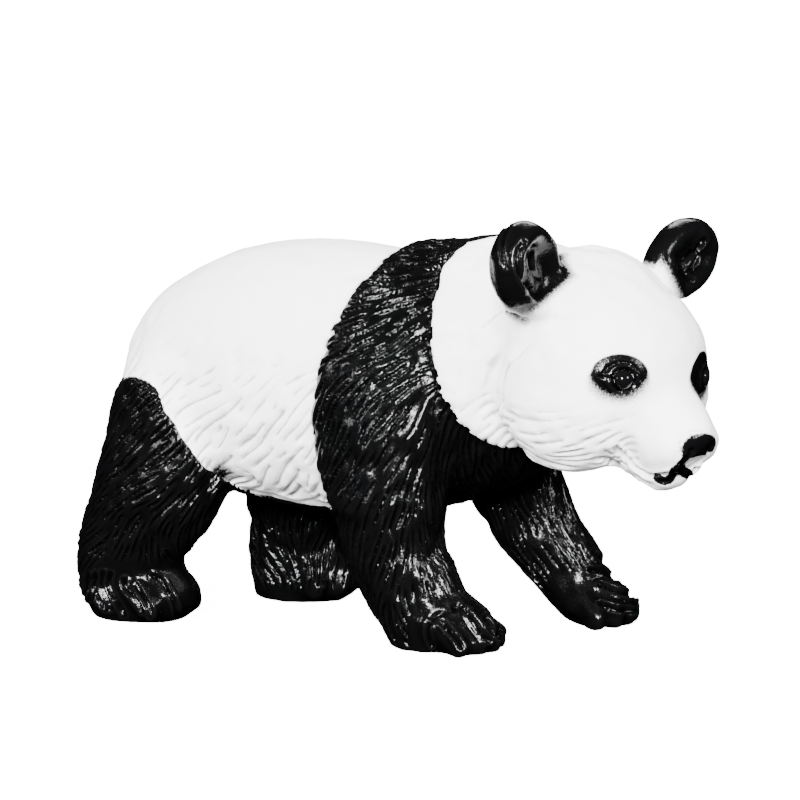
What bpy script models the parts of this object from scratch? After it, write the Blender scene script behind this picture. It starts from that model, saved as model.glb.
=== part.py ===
"""A giant panda walking: a small moulded figurine of painted soft plastic, in one solid piece.

The panda faces -Y, its left side is +X and it stands on z = 0. Its head is turned to its right.
"""

import math

import bmesh
import bpy
import numpy as np
from mathutils import Euler, Matrix, Vector

# The driving size: the figure's length in metres, from the back of the hind foot to the tip of the nose.
LENGTH = 0.095

# The figure is a free form. Its forms are drawn in units, with this many to its length.
UNITS_LONG = 94.9
UNIT = LENGTH / UNITS_LONG

# The plane under the soles, in the drawn figure: the way up from it, and its height at the middle.
GROUND_UP = Vector((0.042, 0.037, 1.0)).normalized()
GROUND_HEIGHT = 0.94

# The head has a frame of its own: its origin is the middle of the skull, and it looks along its -Y.
HEAD_AT = (-4.0, -33.2, 40.3)
HEAD_TURN = -18

# Each ear in the head's frame: its middle, its radii and its turn in degrees, and how deep its cup is.
EARS = (
    ((-13.1, 1.0, 12.7), (5.5, 4.4, 6.3), (-6, -14, 13)),
    ((15.15, 1.0, 11.75), (5.1, 3.7, 6.95), (-6, 66, 0)),
)
CUP_DEPTH = 3.4

# The right eye in the head's frame, its turn, and the sizes of an eyeball, its socket and its black patch.
# The left eye is its mirror image, set a little nearer to the nose and lower.
EYE_AT = (-7.6, -10.7, -0.5)
EYE_TURN = -34
EYE_RADIUS = 1.3
EYE_SOCKET = 2.6
PATCH_MIDDLE = (-0.5, 0.25)
PATCH_HALF = (3.85, 2.95)
LEFT_EYE_SHIFT = 1.3
LEFT_EYE_DROP = 1.2

# How far the muzzle's middle lies to the right of the head's.
MUZZLE_SHIFT = 0.85

# The mouth's line in the head's frame, from under the nose round the right side to the corner.
MOUTH = (
    (0, -16.2, -10.2), (0, -15.2, -11.3), (0, -14, -12.3), (-2.3, -12.8, -13.2), (-3.7, -10.4, -12.7),
    (-5.1, -8.2, -11.4), (-7.5, -7.6, -10.2),
)

# The shoulder band's two edges on the side of the body: at each height, how far back each lies.
BAND_HEIGHTS = (18, 19.4, 21, 25.5, 30, 36, 42, 46.8, 50.3, 52.2)
BAND_REAR = (-1.8, -1.6, -0.1, 1.7, 2.7, 1.9, 0.7, -0.3, -1.3, -1.8)
RUFF_HEIGHTS = (20, 26, 27.5, 28.2, 29, 31.1, 33, 35.7, 39, 42, 45, 48.6, 51.5, 54.2, 55.6)
RUFF_EDGE = (-34, -33, -29, -24, -20.5, -17.9, -16.4, -15.1, -14.2, -13.3, -12.8, -12.4, -12, -13.5, -19)

# The top of the black on the right hind leg: at each place along the body, how high it lies.
THIGH_PLACES = (19.2, 19.8, 21, 24.2, 27.5, 28.5, 31.1, 34.1, 36, 42)
THIGH_TOP = (14, 20.8, 23.3, 28.9, 33.4, 34.1, 34.7, 34.2, 33.6, 32)
LEFT_STEP = 9

# The toes: how far apart they stand, the half width of one, and how far the outer ones set back.
TOE_STEP = 2.5
TOE_HALF = 1.35
TOE_BACK = 0.5

# The lie of the fur: places on the right side and the way the hairs run there.
FUR_PLACES = (
    ((-7, -4, 52), (0, 1, -0.15)), ((-2, 15, 53), (0, 1, 0)), ((-2, 34, 45), (0, 0.7, -0.7)),
    ((-5, 42, 30), (0.2, 0.1, -1)), ((-15, -6, 44), (0, 0.75, -0.65)), ((-16, -5, 34), (0, 0.7, -0.75)),
    ((-17, -4, 24), (0, 0.55, -0.85)), ((-18, -7, 12), (0, 0.35, -0.95)), ((-17, 10, 40), (0, 0.8, -0.55)),
    ((-17, 12, 30), (0, 0.75, -0.65)), ((-14, 10, 19), (0, 0.35, -0.95)), ((-4, 8, 16), (0, 1, 0)),
    ((-17, 26, 30), (0, 0.85, -0.5)), ((-19, 32, 20), (0, 0.85, -0.5)), ((-18, 36, 10), (0, 0.7, -0.7)),
    ((-12, 28, 5), (0, -0.8, -0.6)), ((-12, -18, 5), (0, -0.9, -0.5)), ((-6, -20, 24), (0, -0.1, -1)),
    ((-9, -18, 14), (0.1, -0.5, -0.9)), ((-13, -30, 30), (-0.1, 0.9, -0.3)), ((-17, -30, 38), (0, 1, -0.1)),
    ((-13, -20, 44), (0, 0.8, -0.55)), ((-10, -40, 50), (0, 0.75, 0.65)), ((-11, -44, 40), (-0.5, 0.8, 0)),
    ((-8, -42, 27), (-0.2, 1, -0.1)),
)
FUR_REACH = 5.5
CLUMP = 2.9
CLUMP_LONG = 8.5
CLUMP_DEPTH = 0.5

# How finely the clay is fused and how many triangles the finished skin has.
BODY_VOXEL = 0.6
SKIN_VOXEL = 0.5
TRIANGLES = 9300


def turned(degrees):
    return Euler([math.radians(a) for a in degrees]).to_matrix().to_4x4()


HEAD = Matrix.Translation(HEAD_AT) @ turned((0, 0, HEAD_TURN))


def curve(rows, count):
    """Rows read at count even steps along a smooth curve through the given rows."""
    rows = np.array(rows, float)
    ends = np.vstack([2 * rows[0] - rows[1], rows, 2 * rows[-1] - rows[-2]])
    place = np.linspace(0, len(rows) - 1, count)
    first = np.minimum(place.astype(int), len(rows) - 2)
    t = (place - first)[:, None]
    a, b, c, d = (ends[first + k] for k in range(4))
    return 0.5 * (2 * b + (c - a) * t + (2 * a - 5 * b + 4 * c - d) * t**2 + (3 * b - a - 3 * c + d) * t**3)


def ball(clay, at, radii, turn=(0, 0, 0), frame=Matrix()):
    """Adds an ellipsoid to the clay."""
    place = frame @ Matrix.Translation(at) @ turned(turn) @ Matrix.Diagonal((*radii, 1))
    bmesh.ops.create_icosphere(clay, subdivisions=4, radius=1, matrix=place)


def limb(clay, stations, sides=24, rings=20):
    """Adds a tube through stations of (x, y, z, radius across, radius along)."""
    rows = curve(stations, rings)
    middles = [Vector(row[:3]) for row in rows]
    last = None
    for i, (middle, row) in enumerate(zip(middles, rows)):
        ahead = (middles[min(i + 1, rings - 1)] - middles[max(i - 1, 0)]).normalized()
        across = (Vector((1, 0, 0)) - ahead * ahead.x).normalized()
        along = ahead.cross(across)
        turns = [2 * math.pi * k / sides for k in range(sides)]
        ring = [
            clay.verts.new(middle + across * (row[3] * math.cos(a)) + along * (row[4] * math.sin(a)))
            for a in turns
        ]
        if last is None:
            clay.faces.new(ring[::-1])
        else:
            for k in range(sides):
                clay.faces.new((last[k], last[k - 1], ring[k - 1], ring[k]))
        last = ring
    clay.faces.new(last)


def torso(clay):
    """The trunk from rump to neck, through stations of (y, half width, bottom z, top z), and the tail."""
    stations = (
        (42.4, 2, 27.5, 33.5),
        (41.2, 5.8, 23, 36.6),
        (38.4, 8.9, 20, 39.9),
        (34, 12, 18, 43.9),
        (28, 15, 17, 48.2),
        (20, 17, 16.4, 51.8),
        (11, 17.8, 16, 53.2),
        (2, 17.4, 16.2, 52.8),
        (-6, 16.2, 18, 52.6),
        (-13, 14.4, 21, 55),
        (-20, 13, 25.5, 55.6),
        (-28, 11, 29, 53),
    )
    limb(clay, [(0, y, (low + high) / 2, wide, (high - low) / 2) for y, wide, low, high in stations], rings=48)
    ball(clay, (0.5, 41.6, 31.5), (2.6, 2.2, 4.2), (14, 0, 0))


def near_foreleg(clay):
    limb(clay, (
        (-6, -5, 44, 7, 10),
        (-9.5, -4.5, 38, 8.5, 10.5),
        (-11, -5, 30, 8.6, 9.8),
        (-12, -5.3, 24.6, 7.8, 8.7),
        (-12.5, -6.4, 20, 7.2, 7.8),
        (-12.5, -6.9, 15.5, 6.7, 6.8),
        (-12.5, -8.5, 10.9, 6.3, 6.4),
        (-12.5, -11.6, 6.5, 6, 6.4),
        (-12.5, -14.4, 1, 5.4, 5.6),
    ))
    ball(clay, (-12.5, -15.2, 5), (5.9, 7.2, 4.6), (10, 0, 0))


def far_foreleg(clay):
    limb(clay, (
        (7, -6, 38, 7, 9),
        (9.5, -8, 30, 7.8, 8.4),
        (10.8, -11.2, 22.8, 7, 7.2),
        (11.5, -14.4, 16, 6.1, 6.2),
        (11.8, -17, 12, 5.5, 5.4),
        (12, -19.6, 9, 5.2, 5),
        (12, -23, 6.2, 5, 4.4),
    ))
    ball(clay, (12, -23.8, 4.6), (5.4, 6.2, 4), (12, 0, 0))


def near_hind_leg(clay):
    limb(clay, (
        (-6, 25, 37, 8, 9),
        (-9.4, 27.4, 31, 8.2, 9.8),
        (-11.2, 29, 25, 7.8, 9.6),
        (-12, 30.4, 19.8, 7.4, 9.6),
        (-12, 33.2, 14.7, 6.8, 8.7),
        (-12, 36, 9.6, 6.3, 7.4),
        (-12, 35.9, 5, 6.1, 7.2),
        (-12, 33.4, 0, 5, 5.6),
    ))
    ball(clay, (-12, 32.2, 4), (6.2, 7.6, 4.8))


def far_hind_leg(clay):
    limb(clay, (
        (7, 24, 36, 8, 10),
        (10.5, 24, 30, 8, 10.6),
        (11.6, 23.6, 23, 7.6, 9.6),
        (12, 22.9, 16, 7, 8.4),
        (12, 22.9, 10.8, 6.6, 7.6),
        (12, 23.3, 6, 6.2, 7.4),
        (12, 22.8, -1, 5.8, 6.8),
    ))
    ball(clay, (12, 20.6, 3.6), (6.1, 7.8, 4.8))


def toes(clay, at, tip, size=1.0):
    """Five toes side by side over the front of a paw, each a lobe that bends down to the ground."""
    for k in range(-2, 3):
        x, y, z = at[0] + TOE_STEP * k, at[1] + TOE_BACK * k * k, at[2]
        turn = (tip, 0, 9 * k)
        ball(clay, (x - 0.2 * k, y + 2.6, z + 1.7), (TOE_HALF * size, 3.2, 1.9), turn)
        ball(clay, (x, y, z), (TOE_HALF * size, 2.5, 2.1), turn)


def head(clay):
    ball(clay, (0, 0, -0.8), (13.7, 13.2, 12.6), frame=HEAD)
    ball(clay, (-0.7, 2.6, 2.7), (12, 12, 12.1), frame=HEAD)
    for side in (-1, 1):
        ball(clay, (side * 5.4, 0, -4.6), (8.8, 10.8, 9.2), frame=HEAD)
        ball(clay, (side * 2.4, -12.9, -9), (3.1, 4.5, 3.3), frame=HEAD)
    ball(clay, (0, -10.4, -7.2), (5.6, 6.6, 5.4), frame=HEAD)
    ball(clay, (0, -14.7, -7.2), (3.2, 3.3, 2.9), frame=HEAD)
    ball(clay, (0, -9.6, -12.1), (3.8, 5.2, 3.8), frame=HEAD)


def settled(lump):
    """The mesh that an object's modifiers make. The object goes."""
    graph = bpy.context.evaluated_depsgraph_get()
    skin = bpy.data.meshes.new_from_object(lump.evaluated_get(graph))
    mesh = lump.data
    bpy.data.objects.remove(lump)
    bpy.data.meshes.remove(mesh)
    return skin


def melted(clay, voxel, rounds):
    """The forms of the clay fused into one skin and smoothed, as a mesh."""
    mesh = bpy.data.meshes.new("clay")
    clay.to_mesh(mesh)
    clay.free()
    lump = bpy.data.objects.new("clay", mesh)
    bpy.context.collection.objects.link(lump)
    fuse = lump.modifiers.new("Fuse", "REMESH")
    fuse.mode = "VOXEL"
    fuse.voxel_size = voxel
    melt = lump.modifiers.new("Melt", "SMOOTH")
    melt.factor = 0.5
    melt.iterations = rounds
    return settled(lump)


def triples(items, field):
    """A field of three numbers of each item, as rows."""
    values = np.empty(len(items) * 3, np.float32)
    items.foreach_get(field, values)
    return values.reshape(-1, 3).astype(float)


def within(points, frame):
    """Points of the drawn figure in another frame."""
    back = np.array(frame.inverted())
    return points @ back[:3, :3].T + back[:3, 3]


def folded(points):
    """Points with the left side laid on the right."""
    return points * np.where(points[:, :1] > 0, [[-1, 1, 1]], [[1, 1, 1]])


def in_muzzle(face):
    """Points of the head's frame, with the middle of the muzzle moved to x = 0."""
    return face + np.outer(MUZZLE_SHIFT * ramp(-10, -14, face[:, 1]), (1, 0, 0))


def ramp(start, end, value):
    """A smooth step from 0 at the start to 1 at the end."""
    t = np.clip((value - start) / (end - start), 0, 1)
    return t * t * (3 - 2 * t)


def bell(value, wide):
    return np.exp(-((value / wide) ** 2))


def noise(points):
    """Smooth random values from -1 to 1, with about one bump to each unit of distance."""
    cell = np.floor(points).astype(np.int64)
    t = points - cell
    t = t * t * (3 - 2 * t)
    total = np.zeros(len(points))
    for corner in range(8):
        step = np.array((corner & 1, corner >> 1 & 1, corner >> 2 & 1))
        x, y, z = (cell + step).T
        mixed = (x * 73856093 ^ y * 19349663 ^ z * 83492791) & 0xFFFFFF
        mixed = (mixed * 1103515245 + 12345 >> 8) & 0xFFFF
        total += (mixed / 32767.5 - 1) * np.where(step, t, 1 - t).prod(axis=1)
    return total


def along_fur(points, normals):
    """The way the fur lies at each point, along the skin."""
    near = folded(points)
    total = np.zeros_like(points)
    for place, way in FUR_PLACES:
        apart = ((near - place) ** 2).sum(axis=1)
        total += np.array(way) / (apart[:, None] + FUR_REACH**2) ** 2
    total[:, 0] *= np.where(points[:, 0] > 0, -1, 1)
    total -= normals * (total * normals).sum(axis=1)[:, None]
    return total / np.maximum(np.linalg.norm(total, axis=1), 1e-9)[:, None]


def clumps(points, normals):
    """Fur in clumps that lie along the skin: 0 on a clump, down to -1 in the groove beside it."""
    way = along_fur(points, normals)
    sway = noise(points / (3 * CLUMP) + 40)[:, None] * np.cross(normals, way) * 0.35
    value = np.zeros(len(points))
    for step in np.linspace(-0.5, 0.5, 9):
        value += noise((points + (way + sway) * step * CLUMP_LONG) * 1.6 / CLUMP)
    return -bell(value / value.std(), 0.55)


def line_distance(points, line):
    """How far each point is from a line through the given places."""
    nearest = np.full(len(points), 1e9)
    for start, end in zip(line, line[1:]):
        start, run = np.array(start, float), np.subtract(end, start)
        t = np.clip((points - start) @ run / (run @ run), 0, 1)
        nearest = np.minimum(nearest, np.linalg.norm(points - start - t[:, None] * run, axis=1))
    return nearest


def band_rear(points):
    """How far forward of the shoulder band's rear edge each point is."""
    x, y, z = points.T
    leg = ramp(20.5, 18, z) * ramp(6, 8.5, np.abs(x))
    return np.interp(z, BAND_HEIGHTS, BAND_REAR) + 9 * leg - y


def band_front(points):
    """How far behind the edge of the white ruff each point is."""
    x, y, z = points.T
    return y - np.interp(z, RUFF_HEIGHTS, RUFF_EDGE) + 60 * ramp(24, 19, z)


def thigh(points):
    """How far inside the black of the hind legs each point is."""
    x, y, z = points.T
    top = np.interp(y + np.where(x > 0, LEFT_STEP, 0), THIGH_PLACES, THIGH_TOP) - z
    side = np.abs(x) - np.interp(z, (16, 24, 34), (1, 5, 7.5))
    leg = np.minimum(np.minimum(17.5 - z, np.abs(x) - 4.5), y - 7)
    return np.maximum(np.minimum(top, side), leg)


def nose_pad(face):
    """How far inside the nose's pad each point of the head's frame is."""
    x, y, z = in_muzzle(face).T
    middle = -8.6 + 0.35 * (y + 17) - 0.12 * np.abs(x)
    return 1.7 - np.hypot(x / 1.75, z - middle) - np.maximum(y + 14.5, 0) * 2


def in_ears(face):
    """For each ear, the points of the head's frame in the ear's own, and how many radii out they are."""
    for at, radii, turn in EARS:
        ear = within(face, Matrix.Translation(at) @ turned(turn))
        yield ear, np.linalg.norm(ear / radii, axis=1)


def in_eye(face):
    """Points of the head's frame in the frame of the eye on their side: +X to the nose, +Z up, -Y out."""
    eye = within(folded(face), Matrix.Translation(EYE_AT) @ turned((0, 0, EYE_TURN)))
    left = face[:, 0] > 0
    eye[:, 0] -= np.where(left, LEFT_EYE_SHIFT, 0)
    eye[:, 2] += np.where(left, LEFT_EYE_DROP, 0)
    return eye


def black(points):
    """How far inside the black paint each point is."""
    face = within(points, HEAD)
    right = folded(in_muzzle(face))
    eye = in_eye(face)
    across, up = (eye[:, 0] - PATCH_MIDDLE[0]) / PATCH_HALF[0], (eye[:, 2] - PATCH_MIDDLE[1]) / PATCH_HALF[1]
    patch = PATCH_HALF[1] * (1 - np.hypot(across, up)) - np.maximum(eye[:, 1] - 2, 0)
    mouth = 0.6 - line_distance(right, MOUTH[:5])
    depths = [patch, nose_pad(face), mouth, thigh(points)]
    depths.append(np.minimum(band_rear(points), band_front(points)))
    depths += [(1.1 - radii_out) * 4 for ear, radii_out in in_ears(face)]
    return np.max(depths, axis=0)


def carved(points, normals):
    """The skin's points after the carving of the fur, the face and the ears."""
    face = within(points, HEAD)
    right = folded(in_muzzle(face))
    snout = ramp(-9, -12.5, face[:, 1]) * ramp(6.5, 4.5, np.abs(face[:, 0]))
    smooth_back = ramp(36, 46, points[:, 2]) * ramp(1, 4, points[:, 1])
    brow = ramp(-4, -8, face[:, 1]) * ramp(-7, -4, face[:, 2])
    fur = 1 - np.max([snout, 0.75 * smooth_back, 0.7 * brow], axis=0)
    fur *= ramp(0.4, 2.5, points[:, 2])
    for ear, radii_out in in_ears(face):
        fur *= ramp(1, 1.25, radii_out)
    rise = CLUMP_DEPTH * fur * clumps(points, normals)

    rear, front = band_rear(points), band_front(points)
    rise += 0.55 * ramp(-0.3, 0.5, rear) * ramp(9, 1, rear) * ramp(17, 21, points[:, 2]) * ramp(0, 3, front)
    rise += 0.45 * ramp(0.4, -0.4, front) * ramp(-6, -1, front) * ramp(26, 29, points[:, 2])
    leg = thigh(points)
    rise += 0.3 * ramp(-0.3, 0.5, leg) * ramp(6, 1, leg)

    eye = in_eye(face)
    apart = np.hypot(eye[:, 0], eye[:, 2])
    lids = np.hypot(eye[:, 0] * 0.8, eye[:, 2] - 0.1)
    socket = 1.15 * np.sqrt(np.clip(1 - (apart / EYE_RADIUS) ** 2, 0, 1)) - 0.75 * bell(apart, EYE_SOCKET)
    rise += (socket + 0.42 * bell(lids - 1.75, 0.42)) * ramp(4, 2.5, eye[:, 1])

    rise += 0.4 * ramp(-0.35, 0.35, nose_pad(face))
    nostril = np.hypot(right[:, 0] + 1.55, (right[:, 2] + 9) * 1.4)
    rise -= 0.8 * bell(nostril, 0.6) * ramp(-15, -16, face[:, 1])
    rise -= 0.6 * bell(line_distance(right, MOUTH), 0.55)
    return cupped(points + normals * rise[:, None])


def cupped(points):
    """The points after the hollows of the ears are pressed in."""
    for at, radii, turn in EARS:
        frame = HEAD @ Matrix.Translation(at) @ turned(turn)
        ear = within(points, frame)
        across = np.hypot(ear[:, 0] / radii[0], (ear[:, 2] + 0.4) / radii[2])
        press = CUP_DEPTH * ramp(0.92, 0.3, across) * ramp(1.2, -0.8, ear[:, 1]) * ramp(-6.5, -3, ear[:, 2])
        points = points + press[:, None] * np.array(frame.to_3x3() @ Vector((0, 1, 0)))
    return points


def level():
    """The step from the drawn figure to one that stands on z = 0."""
    turn = GROUND_UP.rotation_difference(Vector((0, 0, 1))).to_matrix().to_4x4()
    return Matrix.Translation((0, 0, -GROUND_HEIGHT)) @ turn


def thinned(skin):
    """The skin with few enough triangles to be built as a solid."""
    lump = bpy.data.objects.new("skin", skin)
    bpy.context.collection.objects.link(lump)
    thin = lump.modifiers.new("Thin", "DECIMATE")
    skin.calc_loop_triangles()
    thin.ratio = TRIANGLES / len(skin.loop_triangles)
    return settled(lump)


def soled(skin):
    """The skin cut flat along z = 0, with a flat sole under each foot."""
    shape = bmesh.new()
    shape.from_mesh(skin)
    for vert in shape.verts:
        if abs(vert.co.z) < 0.3:
            vert.co.z = 0
    parts = shape.verts[:] + shape.edges[:] + shape.faces[:]
    bmesh.ops.bisect_plane(
        shape, geom=parts, dist=1e-4, plane_co=(0, 0, 0), plane_no=(0, 0, 1), clear_inner=True,
    )
    flat = [face for face in shape.faces if all(abs(vert.co.z) < 1e-3 for vert in face.verts)]
    bmesh.ops.delete(shape, geom=flat, context="FACES")
    rims = [edge for edge in shape.edges if edge.is_boundary]
    bmesh.ops.holes_fill(shape, edges=rims)
    bmesh.ops.triangulate(shape, faces=shape.faces)
    bmesh.ops.recalc_face_normals(shape, faces=shape.faces)
    shape.to_mesh(skin)
    shape.free()
    return skin


def paint(name, colour, roughness):
    material = bpy.data.materials.new(name)
    material.use_nodes = True
    shader = material.node_tree.nodes["Principled BSDF"]
    shader.inputs["Base Color"].default_value = (*colour, 1)
    shader.inputs["Roughness"].default_value = roughness
    shader.inputs["Metallic"].default_value = 0
    material.diffuse_color = (*colour, 1)
    return material


def main():
    for obj in list(bpy.data.objects):
        bpy.data.objects.remove(obj)
    clay = bmesh.new()
    for form in (torso, near_foreleg, far_foreleg, near_hind_leg, far_hind_leg, head):
        form(clay)
    body = melted(clay, BODY_VOXEL, 22)

    clay = bmesh.new()
    toes(clay, (-12.5, -20.8, 3.6), 6)
    toes(clay, (12, -28.4, 3.1), 10, 0.92)
    toes(clay, (-12, 27.4, 3), 0)
    toes(clay, (12, 15.6, 2.4), 0)
    for at, radii, turn in EARS:
        ball(clay, at, radii, turn, HEAD)
    clay.from_mesh(body)
    skin = melted(clay, SKIN_VOXEL, 5)

    points = carved(triples(skin.vertices, "co"), triples(skin.vertex_normals, "vector"))
    skin.vertices.foreach_set("co", points.ravel())
    skin = thinned(skin)
    skin.transform(level())
    skin = soled(skin)
    skin.update()

    depth = black(within(triples(skin.vertices, "co"), level()))
    for face in skin.polygons:
        face.material_index = int(depth[list(face.vertices)].mean() > 0)
        face.use_smooth = False

    corners = triples(skin.vertices, "co")
    middle = (corners.min(axis=0) + corners.max(axis=0)) / 2
    skin.transform(Matrix.Scale(UNIT, 4) @ Matrix.Translation((-middle[0], -middle[1], 0)))
    skin.materials.append(paint("white plastic", (0.83, 0.83, 0.83), 0.42))
    skin.materials.append(paint("black paint", (0.012, 0.012, 0.014), 0.26))
    skin.name = "panda"
    panda = bpy.data.objects.new("panda", skin)
    bpy.context.collection.objects.link(panda)
    return middle


main()
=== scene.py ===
"""A giant panda figurine of painted soft plastic, walking with its head turned.

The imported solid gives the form. Its skin is remade finer here, carved with the strands of the fur and the
details of the face and the feet, and painted. Inside the functions the figure is in its drawn frame: the
panda faces -Y, its left is +X, and its length is UNITS_LONG units.
"""

import math
import random
from itertools import product

import bmesh
import bpy
import numpy as np
from mathutils import Euler, Matrix, Vector
from mathutils.bvhtree import BVHTree
from mathutils.kdtree import KDTree


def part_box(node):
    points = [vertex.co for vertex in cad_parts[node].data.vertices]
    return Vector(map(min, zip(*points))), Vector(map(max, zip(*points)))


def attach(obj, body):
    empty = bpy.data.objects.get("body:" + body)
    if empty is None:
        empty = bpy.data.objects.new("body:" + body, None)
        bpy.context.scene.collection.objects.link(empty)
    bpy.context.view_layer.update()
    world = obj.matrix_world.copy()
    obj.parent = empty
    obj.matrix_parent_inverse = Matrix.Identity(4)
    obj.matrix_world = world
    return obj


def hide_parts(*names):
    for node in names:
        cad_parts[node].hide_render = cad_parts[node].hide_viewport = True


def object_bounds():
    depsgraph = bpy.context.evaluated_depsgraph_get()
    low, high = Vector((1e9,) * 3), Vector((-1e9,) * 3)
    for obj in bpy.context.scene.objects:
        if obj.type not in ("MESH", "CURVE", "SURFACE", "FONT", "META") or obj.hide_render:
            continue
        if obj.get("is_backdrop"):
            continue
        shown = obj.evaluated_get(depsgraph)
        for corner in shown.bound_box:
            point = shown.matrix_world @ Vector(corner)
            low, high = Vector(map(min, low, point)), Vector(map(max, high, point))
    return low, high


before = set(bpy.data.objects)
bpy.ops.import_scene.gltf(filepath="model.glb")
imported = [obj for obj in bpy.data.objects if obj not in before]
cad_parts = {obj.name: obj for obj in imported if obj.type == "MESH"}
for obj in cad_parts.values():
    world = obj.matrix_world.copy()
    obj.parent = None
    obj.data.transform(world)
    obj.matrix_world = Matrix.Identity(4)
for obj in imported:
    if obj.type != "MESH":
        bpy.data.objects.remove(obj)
CAD_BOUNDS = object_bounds()
LOW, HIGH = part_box("panda")

# The drawn frame: its unit, its middle on the ground, and the plane under the soles.
UNITS_LONG = 94.94
UNIT = (HIGH.y - LOW.y) / UNITS_LONG
MIDDLE = (-2.771, -4.101, 0)
GROUND_UP = Vector((0.042, 0.037, 1.0)).normalized()
GROUND_HEIGHT = 0.94

# The camera in the drawn frame, for an image of 800 pixels across.
CAMERA_TURN = -60
CAMERA_RISE = 10
CAMERA_AWAY = 420
CAMERA_TARGET = Vector((0, 0, 28))
CAMERA_AIM = (0.54, 3.7)
FOCAL_PIXELS = 3108
IMAGE_PIXELS = 800
PIXELS_PER_UNIT = FOCAL_PIXELS / CAMERA_AWAY
SENSOR = 36

# The head has a frame of its own: its origin is the middle of the skull, and it looks along its -Y.
HEAD_AT = (-4.0, -33.2, 40.3)
HEAD_TURN = -18

# Each ear in the head's frame: its middle, its radii and its turn in degrees.
EARS = (
    ((-13.1, 1.0, 12.7), (5.5, 4.4, 6.3), (-6, -14, 13)),
    ((15.15, 1.0, 11.75), (5.1, 3.7, 6.95), (-6, 66, 0)),
)

# The right eye in the head's frame, its turn, and the sizes of an eyeball, its rim and its black patch, in
# the eye's frame. The left eye is its mirror image, a little nearer the nose and lower, in a larger patch.
EYE_AT = (-7.6, -10.7, -0.5)
EYE_TURN = -34
EYE_RADIUS = 1.3
RIM_RADIUS = 1.85
PATCH_MIDDLE = (-0.5, 0.25)
PATCH_HALF = (3.85, 2.95)
LEFT_EYE_SHIFT = 1.3
LEFT_EYE_DROP = 1.2
LEFT_PATCH_MIDDLE = (0.3, 0.1)
LEFT_PATCH_HALF = (4.5, 3.4)

# How far the muzzle's middle lies to the right of the head's, and the right nostril's place across and up.
MUZZLE_SHIFT = 0.85
NOSTRIL_AT = (-1.55, -9)

# The shoulder band's two edges on the side of the body: at each height, how far back each lies.
BAND_HEIGHTS = (18, 19.4, 21, 25.5, 30, 36, 42, 46.8, 50.3, 52.2)
BAND_REAR = (-1.8, -1.6, -0.1, 1.7, 2.7, 1.9, 0.7, -0.3, -1.3, -1.8)
RUFF_HEIGHTS = (20, 26, 27.5, 28.2, 29, 31.1, 33, 35.7, 39, 42, 45, 48.6, 51.5, 54.2, 55.6)
RUFF_EDGE = (-34, -33, -29, -24, -20.5, -17.9, -16.4, -15.1, -14.2, -13.3, -12.8, -12.4, -12, -13.5, -19)

# The top of the black on the right hind leg: at each place along the body, how high it lies.
THIGH_PLACES = (19.2, 19.8, 21, 24.2, 27.5, 28.5, 31.1, 34.1, 36, 42)
THIGH_TOP = (14, 20.8, 23.3, 28.9, 33.4, 34.1, 34.7, 34.2, 33.6, 32)

# How far forward of the right hind leg the left one stands.
LEFT_STEP = 9

# How much further back the band's rear edge lies on the forelegs.
FORELEG_BACK = 9

# Below these heights there is no ruff, and all of the skin counts as this far behind its edge.
RUFF_END = (24, 19)
FAR_BEHIND = 60

# The lie of the fur: places on the right side and the way the hairs run there.
FUR_PLACES = (
    ((-7, -4, 52), (0, 1, -0.15)), ((-2, 15, 53), (0, 1, 0)), ((-2, 34, 45), (0, 0.7, -0.7)),
    ((-5, 42, 30), (0.2, 0.1, -1)), ((-15, -6, 44), (0, 0.75, -0.65)), ((-16, -5, 34), (0, 0.7, -0.75)),
    ((-17, -4, 24), (0, 0.55, -0.85)), ((-18, -7, 12), (0, 0.35, -0.95)), ((-17, 10, 40), (0, 0.8, -0.55)),
    ((-17, 12, 30), (0, 0.75, -0.65)), ((-14, 10, 19), (0, 0.35, -0.95)), ((-4, 8, 16), (0, 1, 0)),
    ((-17, 26, 30), (0, 0.85, -0.5)), ((-19, 32, 20), (0, 0.85, -0.5)), ((-18, 36, 10), (0, 0.7, -0.7)),
    ((-12, 28, 5), (0, -0.8, -0.6)), ((-12, -18, 5), (0, -0.9, -0.5)), ((-6, -20, 24), (0, -0.1, -1)),
    ((-9, -18, 14), (0.1, -0.5, -0.9)), ((-13, -30, 30), (-0.1, 0.9, -0.3)), ((-17, -30, 38), (0, 1, -0.1)),
    ((-13, -20, 44), (0, 0.8, -0.55)), ((-10, -40, 50), (0, 0.75, 0.65)), ((-11, -44, 40), (-0.5, 0.8, 0)),
    ((-8, -42, 27), (-0.2, 1, -0.1)),
)
FUR_REACH = 5.5

# How far apart the strands lie in the black and in the white, and how much further under the belly.
BLACK_GAP = 0.84
WHITE_GAP = 1.15
BELLY_WIDER = 0.35

# How deep the strands are cut in the black, on the cheeks and on the back, and how much deeper than on the
# back they are low on the flanks and under the belly.
BLACK_DEPTH = 0.62
CHEEK_DEPTH = 0.48
BACK_DEPTH = 0.2
FLANK_DEEPER = 0.4
BELLY_DEEPER = 0.3

# How high the band and the ruff stand at their edges, an eyeball, the rim round it and the nose's pad. Then
# how deep the groove round an eyeball and the nostrils are, and how far the far ear's cup is filled.
BAND_RISE = 0.28
RUFF_RISE = 0.3
EYE_RISE = 0.45
RIM_RISE = 0.25
NOSE_RISE = 0.3
EYE_GROOVE = 0.3
NOSTRIL_DEPTH = 0.5
FAR_EAR_FILL = 1.7

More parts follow.
